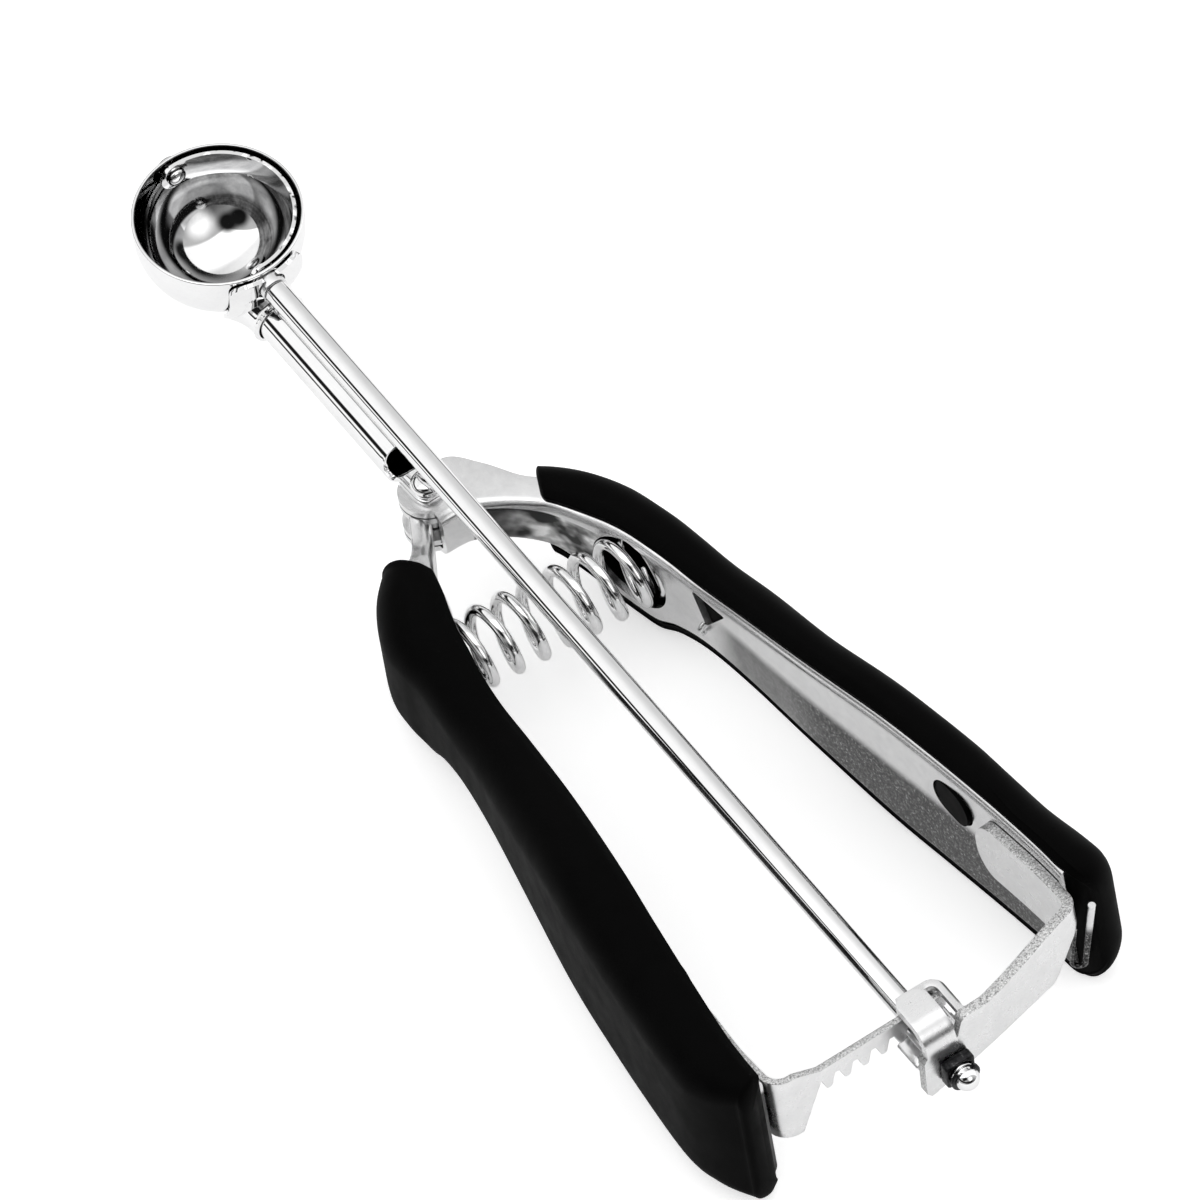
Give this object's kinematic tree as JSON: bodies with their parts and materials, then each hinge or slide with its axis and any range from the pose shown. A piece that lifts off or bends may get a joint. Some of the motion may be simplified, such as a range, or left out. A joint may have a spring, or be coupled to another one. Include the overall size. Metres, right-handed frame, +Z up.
{
  "type": "cookie scoop",
  "caption": "Squeeze-handled cookie scoop: a small round bowl whose scraper blade is swept by a rod, a rack and a pinion when the grips close.",
  "frame": {"origin": "on the surface that the grips rest on, under the middle of the whole part's box", "axes": "+X from the rack handle towards the bracket handle, +Y towards the bowl, +Z up out of the open bowl"},
  "size_m": [0.0756, 0.2168, 0.0366],
  "materials": {
    "chrome": "mirror-bright polished steel",
    "lever_steel": "bright stamped steel, dark speckled grain towards the rear",
    "stamped_steel": "satin galvanised stamped steel with sheared edges",
    "spring_steel": "bright plated spring wire",
    "dark_steel": "dark oiled steel",
    "black_rubber": "smooth matt black moulded rubber"
  },
  "bodies": {
    "frame": {"right_lever": "lever_steel", "right_grip": "black_rubber", "arm_bracket": "stamped_steel", "hub_rivet": "chrome", "hub_spacer": "stamped_steel", "neck_tube": "chrome", "bowl_socket": "chrome", "bowl": "chrome", "blade_pivot": "chrome", "front_bushing": "dark_steel", "rear_bushing": "dark_steel", "compression_spring": "spring_steel"},
    "left_handle": {"left_lever": "lever_steel", "left_grip": "black_rubber", "rack_arm": "stamped_steel"},
    "shaft": {"shaft_rod": "chrome", "pinion_gear": "stamped_steel", "scraper_blade": "chrome", "retaining_clip": "dark_steel"}
  },
  "joints": [
    {"name": "handle_squeeze", "type": "hinge", "parent": "frame", "child": "left_handle", "pos_m": [0.00095, 0.03872, 0.0145], "axis": [0, 0, 1], "range_deg": [0, 5.5], "stiffness_Nm_per_rad": 1.1, "springref_deg": -14.32, "deforming": ["compression_spring"]},
    {"name": "blade_sweep", "type": "hinge", "parent": "frame", "child": "shaft", "pos_m": [0.00095, 0.03753, 0.02694], "axis": [0, 0.9954, 0.0958], "range_deg": [0, 172.1]}
  ],
  "couplings": [
    {"joint": "blade_sweep", "follows": "handle_squeeze", "ratio": 31.277}
  ]
}
